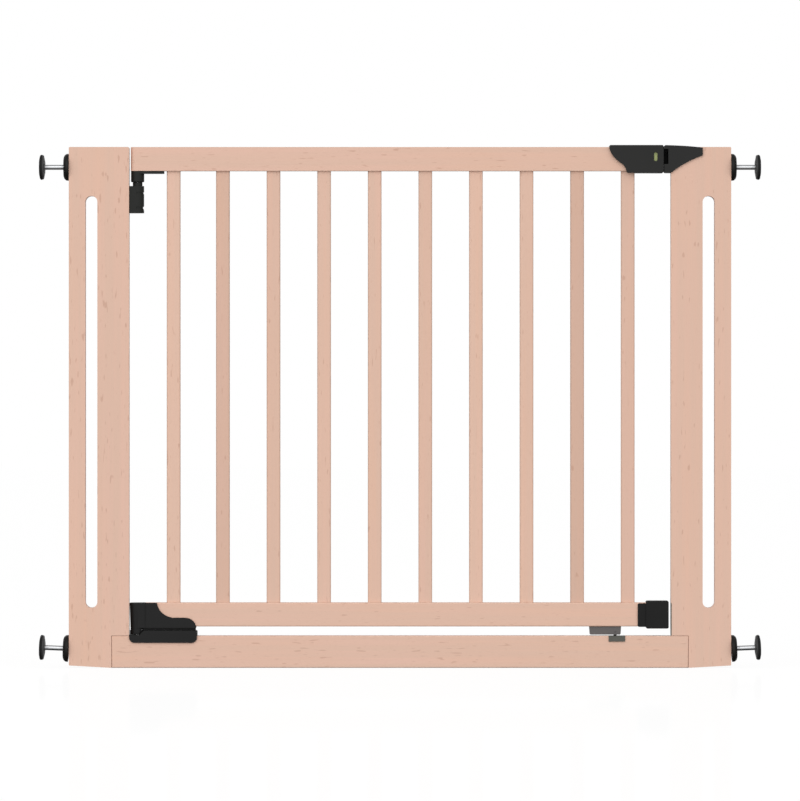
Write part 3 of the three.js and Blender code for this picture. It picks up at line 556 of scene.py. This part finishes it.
def make_sill():
    (x0, x1), (y0, y1), (z0, z1) = span("sill")
    sill = prism("sill_board", [rectangle(x0, x1, z0, z1)], "y", y0, y1, BOARD_EDGE, BOARD_EDGE)
    (px0, px1), _, _ = span("stop_plate")
    above, pin_end, rebate_low = 60, 19.7, 48.6
    post_side = span("post_left")[0][1]
    hinge_pocket = box_mesh(post_side, HINGE_POCKET_RIGHT, -20, 20, HINGE_POCKET_LOW, above)
    stop_rebate = box_mesh(px0 - GAP, px1 + GAP, -20, 8, rebate_low, above)
    pin_hole = move(rod_mesh(PIN_R + GAP, pin_end, above), (HINGE_X, 0, 0))
    holes = [fixing_hole(f"sill_screw_{side}", "z") for side in ("left", "right")]
    holes += [fixing_hole("hinge_base_screw", "y"), fixing_hole("stop_plate_screw", "z")]
    carve(sill, hinge_pocket, stop_rebate, pin_hole, *holes)
    settle(sill, beech("beech_sill", "x", 13), "beech", "sill")


# How much lighter or darker each bar's wood is
BAR_TINTS = (1.03, 0.92, 0.98, 1.0, 1.0, 0.98, 1.02, 1.0, 0.89, 0.96)


def mortises(z0, z1):
    cutters = []
    for name in BARS:
        (x0, x1), (y0, y1), _ = span(name)
        cutters.append(box_mesh(x0 - GAP, x1 + GAP, y0 - GAP, y1 + GAP, z0, z1))
    return cutters


def make_bars():
    for i, name in enumerate(BARS):
        (x0, x1), (y0, y1), (z0, z1) = span(name)
        section = rectangle(x0, x1, y0, y1, BAR_EDGE, 6)
        bar = prism(f"{name}_slat", [section], "z", z0, z1, 0.4, 0.4, 1)
        settle(bar, beech(f"beech_{name}", "z", 20 + i, BAR_TINTS[i]), "beech", name)


def make_top_rail():
    (x0, x1), (y0, y1), (z0, z1) = span("top_rail")
    corner = 7.0
    outline = fillet([(x0, y0, corner), (x1, y0, 0), (x1, y1, 0), (x0, y1, corner)], 10)
    rail = prism("top_rail_board", [outline], "z", z0, z1, BOARD_EDGE, BOARD_EDGE)
    holes = [fixing_hole("bracket_screw", "z")]
    holes += [fixing_hole(f"handle_screw_{i}", "y") for i in (1, 2)]
    carve(rail, *mortises(z0 - 5, span("bar_01")[2][1] + GAP), *holes)
    settle(rail, beech("beech_top_rail", "x", 14), "beech", "top_rail")


def make_bottom_rail():
    (x0, x1), (y0, y1), (z0, z1) = span("bottom_rail")
    section = rectangle(y0, y1, z0, z1, BOARD_EDGE, 5)
    rail = prism("bottom_rail_board", [section], "x", x0, x1)
    neck, head = 3.3, 6.0
    step, ceiling = 68, 72.8
    slot = [
        (-neck, z0 - 5), (neck, z0 - 5), (neck, step), (head, step),
        (head, ceiling), (-head, ceiling), (-head, step), (-neck, step),
    ]
    (sx0, sx1), _, _ = span("stop_slider")
    slide = prism_mesh([slot], "x", sx0 + 1 - STOP_TRAVEL - GAP, sx1 - 1 + GAP)
    holes = [fixing_hole("shoe_screw", "y"), fixing_hole("cap_screw", "y")]
    carve(rail, *mortises(span("bar_01")[2][0] - GAP, z1 + 5), slide, *holes)
    settle(rail, beech("beech_bottom_rail", "x", 15), "beech", "bottom_rail")


# ------------------------------------------------------------------ lower hinge
# Degrees clockwise from -X seen from above, and the share of the cam's rise there.
CAM_STEPS = ((0, 0), (43, 0), (133, 1), (235, 1), (256, 0), (360, 0))
CAM_LOW = 51.5
CAM_PLAY = 0.7
CAM_INNER_R = 2  # less than the pin hole, which trims both cams


def cam_height(angle):
    for (from_angle, from_part), (to_angle, to_part) in zip(CAM_STEPS, CAM_STEPS[1:]):
        if from_angle <= angle < to_angle:
            along = (angle - from_angle) / (to_angle - from_angle)
            return CAM_RISE * (from_part + (to_part - from_part) * along)
    return 0.0


def cam_mesh(inner, outer_at, low, top, steps=120):
    """A ring about the hinge's axis with a flat top, whose underside follows the cam."""
    bm = bmesh.new()
    rings = [[], [], [], []]
    for k in range(steps):
        angle = 360 * k / steps
        turn = math.radians(angle)
        under = low + cam_height(angle)
        corners = ((inner, under), (outer_at(under), under), (outer_at(top), top), (inner, top))
        for ring, (radius, height) in zip(rings, corners):
            spot = (HINGE_X - radius * math.cos(turn), radius * math.sin(turn), height)
            ring.append(bm.verts.new(spot))
    for i in range(4):
        bridge(bm, rings[i], rings[(i + 1) % 4])
    bmesh.ops.recalc_face_normals(bm, faces=bm.faces[:])
    return bm


def make_hinge_base():
    (x0, x1), (y0, y1), (z0, z1) = span("lower_hinge_base")
    outline = fillet([(x0, z0, 8.5), (x1, z0, 8.5), (x1, z1, 2), (x0, z1, 0.5)], 12)
    edge = MOULDING_EDGE
    base = prism("hinge_base_moulding", [outline], "y", y0, y1, edge, edge)
    saddle = span("sill")[1][1] + GAP
    sill_top = span("sill")[2][1]
    beside_pocket = HINGE_POCKET_RIGHT - GAP
    over_sill = box_mesh(beside_pocket, x1 + 10, -saddle, saddle, 0, sill_top + GAP)
    under_cam = box_mesh(x0 - 10, x1 + 10, -saddle, saddle, 0, HINGE_POCKET_LOW + GAP)
    track_r = 19
    track = cam_mesh(CAM_INNER_R, lambda height: track_r, CAM_LOW, z1 + 20)
    pin_hole = move(rod_mesh(PIN_R + GAP, 0, 100), (HINGE_X, 0, 0))
    front_corner = box_mesh(x0 - 1, HINGE_X - 8, -20, -8, CAM_LOW, z1 + 5)
    hollows = [over_sill, under_cam, front_corner, track, pin_hole]
    carve(base, *hollows, fixing_hole("hinge_base_screw", "y"))
    settle(base, SHOE_BLACK, "black_plastic", "lower_hinge_base")


def make_hinge_shoe():
    (_, x1), (y0, y1), (_, z1) = span("lower_hinge_shoe")
    foot = CAM_LOW + CAM_PLAY
    plates_low = 62.5
    barrel_r, foot_r = y1, 10.8

    def barrel_radius(height):
        return foot_r + (barrel_r - foot_r) * (height - foot) / (z1 - foot)

    tongue = 78.4
    outline = [(HINGE_X, plates_low)]
    outline += bezier((x1, plates_low), (x1, plates_low + 9), (x1 - 7.3, tongue), (x1 - 18, tongue))
    outline += [(x1 - 18, tongue)]
    outline += bezier((x1 - 37, tongue), (-367, tongue + 1.9), (-378, 87), (-380.5, z1))
    outline += [(-380.5, z1), (HINGE_X, z1)]
    shoe = prism("hinge_shoe_moulding", [outline], "y", y0, y1, MOULDING_EDGE, MOULDING_EDGE)
    edge = 1.2
    top_r = barrel_radius(z1)
    barrel = lathe_mesh([
        (0, plates_low), (barrel_radius(plates_low), plates_low),
        (barrel_radius(z1 - edge), z1 - edge),
        (top_r - 0.4, z1 - 0.35), (top_r - edge, z1), (0, z1),
    ], 96)
    cam = cam_mesh(CAM_INNER_R, barrel_radius, foot, plates_low + 4)
    rib_left, rib_half, rib_low = -404, 6.5, 58.75
    rib = box_mesh(rib_left, x1 - 0.6, -rib_half, rib_half, rib_low, plates_low + 1)
    weld(shoe, move(barrel, (HINGE_X, 0, 0)), cam, rib)
    rail_half = RAIL_HALF + GAP
    rail_low = span("bottom_rail")[2][0] - GAP
    pocket_left = HINGE_X + barrel_r + GAP
    pocket = box_mesh(pocket_left, x1 + 50, -rail_half, rail_half, rail_low, 200)
    pin_bore = move(rod_mesh(PIN_R + GAP, 0, 95), (HINGE_X, 0, 0))
    bush_bore = move(rod_mesh(BUSH_R + GAP, 66, 95.3), (HINGE_X, 0, 0))
    seam_x, seam_half, seam_depth = HINGE_X + barrel_r, 0.6, 0.9
    seams = []
    for side in (-1, 1):
        near, far = side * y1 - seam_depth, side * y1 + seam_depth
        low, high = plates_low - 1, z1 + 1
        seams.append(box_mesh(seam_x - seam_half, seam_x + seam_half, near, far, low, high))
    carve(shoe, pocket, pin_bore, bush_bore, *seams, fixing_hole("shoe_screw", "y"))
    settle(shoe, SHOE_BLACK, "black_plastic", "lower_hinge_shoe")


# ------------------------------------------------------------------ upper hinge
def make_hinge_socket():
    (x0, _), (y0, y1), (z0, z1) = span("top_hinge_socket")
    outline = [(x0, y0)] + arc(HINGE_X, 0, y1, -90, 90, 32) + [(x0, y1)]
    socket = prism("hinge_socket_moulding", [outline], "z", z0, z1, 1.0, 1.0, 3)
    bore_end = 726.7
    bore = move(rod_mesh(BUSH_R + GAP, bore_end, z1 + 5), (HINGE_X, 0, 0))
    half_turn = 100
    band = arc(HINGE_X, 0, y1 + 3, -half_turn, half_turn, 40)
    band += arc(HINGE_X, 0, y1 - 0.8, half_turn, -half_turn, 40)
    grooves = [prism_mesh([band], "z", height - 1.5, height + 1.5) for height in (720, 743)]
    carve(socket, bore, *grooves, fixing_hole("socket_screw", "x"))
    settle(socket, HINGE_BLACK, "black_plastic", "top_hinge_socket")


def make_hinge_bracket():
    (_, x1), (y0, y1), (z0, z1) = span("top_hinge_bracket")
    plate_low = z1 - 3.9
    outline = [(x1, y0), (x1, y1)] + arc(HINGE_X, 0, y1, 90, 270, 32)
    bracket = prism("hinge_bracket_moulding", [outline], "z", plate_low, z1, 0.6, 0.4, 2)
    overlap = plate_low + 0.9
    profile = fillet([(0, z0, 0), (y1, z0, 1.6), (y1, overlap, 0), (0, overlap, 0)], 5)
    weld(bracket, move(lathe_mesh(profile), (HINGE_X, 0, 0)))
    bore_end = 771.3
    bore = move(rod_mesh(PIN_R + GAP, z0 - 5, bore_end), (HINGE_X, 0, 0))
    carve(bracket, bore, fixing_hole("bracket_screw", "z"))
    settle(bracket, HINGE_BLACK, "black_plastic", "top_hinge_bracket")


# ------------------------------------------------------------------ handle and latch
def handle_outline():
    (left, right), _, (low, top) = span("handle_back_shell")
    corner = 2.4
    outline = bezier((left, top - corner), (328.2, 804.5), (337.5, 795), (346.6, 789.2))
    outline += bezier((346.6, 789.2), (350.8, 786.6), (353, 783.2), (353.8, 779), 12)
    outline += bezier((353.8, 779), (354.3, 776.3), (355.6, low), (358, low), 8)
    outline += arc(right - corner, low + corner, corner, -90, 0, 6)
    outline += arc(right - corner, top - corner, corner, 0, 90, 6)
    outline += arc(left + corner, top - corner, corner, 90, 180, 6)[:-1]
    return outline


NOSE_LEFT = 409.0  # where the bolt narrows to its nose
NOSE_LOW = 789.0


def handle_hollows():
    """What both shells are hollowed by: the rail, the last bar, the latch and its slide."""
    wall = 2.3
    (hx0, hx1), (_, depth), _ = span("handle_back_shell")
    (_, rail_end), (_, rail_half), (rail_low, rail_top) = span("top_rail")
    (bx0, bx1), (_, bar_half), _ = span(BARS[-1])
    _, (by0, by1), (_, bz1) = span("latch_bolt")
    (sx0, sx1), (_, slot), _ = span("thumb_slider")
    cavity = depth - wall
    half = rail_half + GAP
    floor, ceiling = rail_low - GAP, rail_top + GAP
    slide_left = sx0 - LATCH_TRAVEL - GAP
    return [
        box_mesh(hx0 - 20, rail_end + GAP, -half, half, floor, ceiling),
        box_mesh(rail_end, hx1 - wall, -cavity, cavity, floor, ceiling),
        box_mesh(bx0 - GAP, bx1 + GAP, -bar_half - GAP, bar_half + GAP, 770, rail_low + 2),
        box_mesh(NOSE_LEFT, hx1 + 9, by0 - GAP, by1 + GAP, NOSE_LOW - GAP, bz1 + GAP),
        box_mesh(slide_left, sx1 + GAP, -slot - GAP, slot + GAP, 800, 830),
        fixing_hole("handle_screw_1", "y"),
        fixing_hole("handle_screw_2", "y"),
    ]


def make_handle():
    _, (_, depth), _ = span("handle_back_shell")
    edge = 1.7
    front = prism("handle_front_moulding", [handle_outline()], "y", -depth, -GAP / 2, edge, 0)
    back = prism("handle_back_moulding", [handle_outline()], "y", GAP / 2, depth, 0, edge)
    (left, right), low, top = (397.4, 402.9), 793.0, 806.8
    r = (right - left) / 2
    window = rectangle(left, right, low, top, r - 0.01, 10)
    carve(front, *handle_hollows(), prism_mesh([window], "y", -30, -12))
    carve(back, *handle_hollows())
    settle(front, BLACK, "black_plastic", "handle_front_shell")
    settle(back, BLACK, "black_plastic", "handle_back_shell")


def make_keeper():
    (left, right), (y0, y1), (low, top) = span("keeper")
    tip_low, tip_top = 801.6, top - 3.9
    inner = 424.6
    corner = 2.4
    outline = arc(left + corner, top - corner, corner, 180, 90, 6)
    crown = (436, top - 0.5), (455, top - 1.4)
    outline += bezier((left + corner, top), *crown, (right, tip_top))[1:]
    outline += [(right, tip_top)]
    outline += bezier((right, tip_low), (458, 796.5), (438, 786), (inner, low))
    outline += [(inner, low)]
    outline += arc(left + corner, low + corner, corner, 270, 180, 6)
    edge = 1.6
    keeper = prism("keeper_moulding", [outline], "y", y0, y1, edge, edge)
    saddle = span("post_right")[1][1] + GAP
    post_inner = span("post_right")[0][0]
    over_post = box_mesh(post_inner - GAP, right + 20, -saddle, saddle, 700, GATE_TOP + GAP)
    recess_right, recess_back, recess_top = 419.8, 7, 812
    recess_low = NOSE_LOW - 0.7
    recess = box_mesh(left - 10, recess_right, -30, recess_back, recess_low, recess_top)
    carve(keeper, over_post, recess, fixing_hole("keeper_screw", "y"))
    settle(keeper, BLACK, "black_plastic", "keeper")


def make_end_cap():
    (x0, x1), (y0, y1), (z0, z1) = span("rail_end_cap")
    tab_left, tab_right, tab_half = x0, 385.0, 12
    tab_low, tab_top = 64, 101
    edge, tab_edge, corner = 1.3, 0.8, 2.5
    face = rectangle(tab_right, x1, z0, z1, corner)
    cap = prism("rail_end_cap_moulding", [face], "y", y0, y1, edge, edge)
    tab_face = rectangle(tab_left, tab_right + 5, tab_low, tab_top, corner)
    tab = prism_mesh([tab_face], "y", -tab_half, tab_half, tab_edge, tab_edge, 3)
    weld(cap, tab)
    (_, rail_end), (_, rail_half), (rail_low, rail_top) = span("bottom_rail")
    half = rail_half + GAP
    in_wide = box_mesh(tab_right - 1, rail_end + GAP, -half, half, rail_low - GAP, rail_top + GAP)
    in_tab = box_mesh(tab_left - 1, tab_right, -half, half, 60, 110)
    carve(cap, in_wide, in_tab, fixing_hole("cap_screw", "y"))
    settle(cap, CAP_BLACK, "black_plastic", "rail_end_cap")


# ------------------------------------------------------------------ swing stop
def make_stop_slider():
    (x0, x1), _, (z0, z1) = span("stop_slider")
    low, high, corner, slant = 51.8, 64.4, 2.0, 0.9
    body = fillet([(x0, high, 0), (x0 + slant, low, corner), (x1 - slant, low, corner), (x1, high, 0)])
    slider = prism("stop_slider_moulding", [body], "y", -7, 3.6, 0.8, 0.8, 3)
    neck, head, step = 3.0, 5.7, 68.3
    tee = [
        (-neck, 60), (neck, 60), (neck, step), (head, step),
        (head, z1), (-head, z1), (-head, step), (-neck, step),
    ]
    nub = box_mesh(335, 339, -3, 3.6, z0, low + 1)
    weld(slider, prism_mesh([tee], "x", x0 + 1, x1 - 1), nub)
    dimple = aim(lathe_mesh([(0, 0), (1.2, 0), (1.2, 2), (0, 2)], 24), (337, -8, 55.6), (0, 1, 0))
    carve(slider, dimple)
    settle(slider, GREY, "grey_plastic", "stop_slider")


# ------------------------------------------------------------------ spindles
THREAD = {"pitch": 1.25, "depth": 0.12, "radius": 4.0}


def threaded_mesh(plain_from, thread_from, thread_to, plain_to, steps=28, rows_a_turn=6):
    """A rod along Z with a helical thread cut into its middle."""
    bm = bmesh.new()
    pitch, depth, radius = THREAD["pitch"], THREAD["depth"], THREAD["radius"]
    length = thread_to - thread_from
    rows = round(length / pitch * rows_a_turn)
    threaded = [thread_from + length * k / rows for k in range(rows + 1)]
    heights = [plain_from, *threaded, plain_to]
    rings = []
    for i, height in enumerate(heights):
        fade = 0.0 if i in (0, len(heights) - 1) else 1.0
        ring = []
        for k in range(steps):
            share = k / steps
            phase = 2 * math.pi * (height / pitch - share)
            groove = max(0.0, math.cos(phase)) ** 0.8
            r = radius - depth * groove * fade
            angle = 2 * math.pi * share
            ring.append(bm.verts.new((r * math.cos(angle), r * math.sin(angle), height)))
        rings.append(ring)
    for lower, upper in zip(rings, rings[1:]):
        bridge(bm, lower, upper)
    bm.faces.new(rings[0])
    bm.faces.new(rings[-1])
    bmesh.ops.recalc_face_normals(bm, faces=bm.faces[:])
    return bm


PAD_R = 19.8
PAD_FACE = 46.9  # from the post's side to the pad's outer face
PAD_INNER = 37.6
PAD_SEAM = 42.2  # where the moulded hub and the rubber sole meet


def make_rod(name):
    place, direction = SPINDLES[name]
    rod = threaded_mesh(-30, -14, PAD_INNER + 2, PAD_SEAM)
    piece = new_piece(f"spindle_rod_{name}", aim(rod, place, direction))
    settle(piece, ZINC, "zinc_steel", f"threaded_rod_{name}")


def make_pad_sole(name):
    """The rubber half of the pad, which is clamped against the wall."""
    place, direction = SPINDLES[name]
    low = PAD_SEAM + GAP / 2
    profile = fillet([
        (0, low, 0), (PAD_R - 0.3, low, 0.3), (PAD_R, low + 1.25, 1.0),
        (PAD_R - 1.5, PAD_FACE - 1.3, 1.6), (12, PAD_FACE, 3), (0, PAD_FACE, 0),
    ], 6)
    sole = new_piece(f"wall_pad_sole_{name}", aim(lathe_mesh(profile), place, direction))
    settle(sole, RUBBER, "black_rubber", f"wall_pad_{name}")


def make_pad_hub(name):
    """The moulded half of the pad, on the rod's end."""
    place, direction = SPINDLES[name]
    bore = PIN_R + GAP
    high = PAD_SEAM - GAP / 2
    profile = fillet([
        (bore, PAD_INNER, 0.3), (9, PAD_INNER, 1.5), (PAD_R - 1.3, PAD_INNER + 1.9, 1.8),
        (PAD_R - 0.1, high, 0.3), (bore, high, 0),
    ], 6)
    hub = new_piece(f"wall_pad_hub_{name}", aim(lathe_mesh(profile), place, direction))
    hub.data.materials.append(HUB_GREY)
    hub.modifiers.new("even_normals", "WEIGHTED_NORMAL").keep_sharp = True
    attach(hub, f"spindle_{name}")


def make_collar(name):
    place, direction = SPINDLES[name]
    # The lower wheels stand off the post, because their spindles are tilted
    lean = 0.86 if name.startswith("lower") else 0.0
    foot = GAP + lean
    r, thick = 21.3, 8.4
    profile = fillet([
        (PIN_R + GAP, foot, 0.3), (r, foot, 1.2), (r - 0.6, foot + 4.4, 2),
        (r - 3.2, foot + thick - 1.2, 2), (r - 6.5, foot + thick, 1.5),
        (PIN_R + GAP, foot + thick, 0.4),
    ], 6)
    collar = new_piece(f"collar_wheel_{name}", aim(lathe_mesh(profile, 96), place, direction))
    settle(collar, COLLAR_BLACK, "black_plastic", f"adjusting_collar_{name}")


# ------------------------------------------------------------------ small pieces kept close to the CAD
SMALL_PIECES = {
    "strike_plate": (DARK_METAL, "dark_metal", 0.2),
    "stop_plate": (GREY_METAL, "grey_metal", 0.35),
    "thumb_slider": (BLACK, "black_plastic", 0.3),
    # The latch bolt gets the near-black that carries painted shade for the keeper's recess
    "latch_bolt": (SHADED_BOLT_BLACK, "black_plastic", 0.5),
    "indicator_flag": (GREEN, "green_plastic", 0.2),
    "indicator_back": (RED, "red_plastic", 0.2),
    "lower_hinge_bush": (GREY, "grey_plastic", 0.4),
    "top_hinge_bush": (HINGE_BLACK, "black_plastic", 0.4),
    "lower_hinge_pin": (ZINC, "zinc_steel", 0.5),
    "top_hinge_pin": (ZINC, "zinc_steel", 0.5),
}


def make_small_pieces():
    for node, (material, slot, edge) in SMALL_PIECES.items():
        settle(refined(node, edge), material, slot, node)
    for node in frame["nodes"]:
        if "_screw" in node:
            settle(refined(node, 0.15, 1), ZINC, "zinc_steel", node)
    spring = frame["nodes"]["latch_spring"]
    spring.data.materials.clear()
    spring.data.materials.append(ZINC)


# ------------------------------------------------------------------ stage
def make_floor():
    bm = bmesh.new()
    bmesh.ops.create_grid(bm, x_segments=1, y_segments=1, size=30000)
    floor = new_piece("floor", bm)
    floor.location.z = -0.0003
    s = Shader("studio_floor")
    glow = s.add("ShaderNodeEmission", {"Color": gray(1.0), "Strength": 0.9}).outputs[0]
    matte = s.add("ShaderNodeBsdfDiffuse", {"Color": gray(0.10)}).outputs[0]
    gloss = s.add("ShaderNodeBsdfGlossy", {"Color": gray(0.03), "Roughness": 0.05}).outputs[0]
    both = s.add("ShaderNodeAddShader", {0: glow, 1: matte}).outputs[0]
    total = s.add("ShaderNodeAddShader", {0: both, 1: gloss}).outputs[0]
    s.add("ShaderNodeOutputMaterial", {"Surface": total})
    floor.data.materials.append(s.material)
    floor.visible_diffuse = False
    floor.visible_glossy = False


# The strength of the studio's light from three sides
LIGHT_FRONT = 1.43
LIGHT_AROUND = 0.27
LIGHT_BEHIND = 0.6


def make_world():
    """White behind the gate for the camera. For light, bright in front and softer behind."""
    world = bpy.data.worlds.new("studio")
    bpy.context.scene.world = world
    s = Nodes(world)
    direction = s.add("ShaderNodeTexCoord").outputs["Generated"]
    part = s.add("ShaderNodeSeparateXYZ", {0: direction}).outputs
    front = s.spread(part["Y"], 0.15, -0.95, LIGHT_AROUND, LIGHT_FRONT, "SMOOTHSTEP")
    behind = s.spread(part["Y"], 0.35, 0.95, 0.0, LIGHT_BEHIND, "SMOOTHSTEP")
    above = s.spread(part["Z"], -0.8, 0.25, 0.1, 1.15)
    around = s.add("ShaderNodeMath", {0: front, 1: behind}, operation="ADD").outputs[0]
    strength = s.add("ShaderNodeMath", {0: around, 1: above}, operation="MULTIPLY").outputs[0]
    light = s.add("ShaderNodeBackground", {"Color": gray(1.0), "Strength": strength})
    seen = s.add("ShaderNodeBackground", {"Color": gray(1.0)})
    for_camera = s.add("ShaderNodeLightPath").outputs["Is Camera Ray"]
    sides = {0: for_camera, 1: light.outputs[0], 2: seen.outputs[0]}
    shown = s.add("ShaderNodeMixShader", sides).outputs[0]
    s.add("ShaderNodeOutputWorld", {0: shown})


def make_softbox(name, place, size, power):
    data = bpy.data.lights.new(name, "AREA")
    data.size = size
    data.energy = power
    lamp = bpy.data.objects.new(name, data)
    lamp.location = place
    toward = Vector((0, 0, 0.4)) - Vector(place)
    lamp.rotation_euler = toward.to_track_quat("-Z", "Y").to_euler()
    lamp.visible_camera = False
    bpy.context.scene.collection.objects.link(lamp)


CAMERA_DISTANCE = 10.0
VIEW_WIDTH = 1.2548  # metres across the picture at the gate
VIEW_HEIGHT = 0.4183  # the camera's height above the floor


def make_camera():
    data = bpy.data.cameras.new("camera")
    data.sensor_width = 36.0
    data.lens = data.sensor_width * CAMERA_DISTANCE / VIEW_WIDTH
    data.clip_end = 100
    camera = bpy.data.objects.new("camera", data)
    camera.location = (0.0, -CAMERA_DISTANCE, VIEW_HEIGHT)
    camera.rotation_euler = (math.radians(90), 0, 0)
    bpy.context.scene.collection.objects.link(camera)
    bpy.context.scene.camera = camera


# ------------------------------------------------------------------ assembly
make_camera()
make_world()
make_floor()
make_softbox("key_softbox", (-1.6, -2.6, 2.6), 1.6, 10)
bpy.context.scene.view_settings.view_transform = "Standard"

make_post(-1)
make_post(1)
make_sill()
make_bars()
make_top_rail()
make_bottom_rail()
make_hinge_base()
make_hinge_shoe()
make_hinge_socket()
make_hinge_bracket()
make_handle()
make_keeper()
make_end_cap()
make_stop_slider()
for corner in CORNERS:
    make_rod(corner)
    make_pad_sole(corner)
    make_pad_hub(corner)
    make_collar(corner)
make_small_pieces()
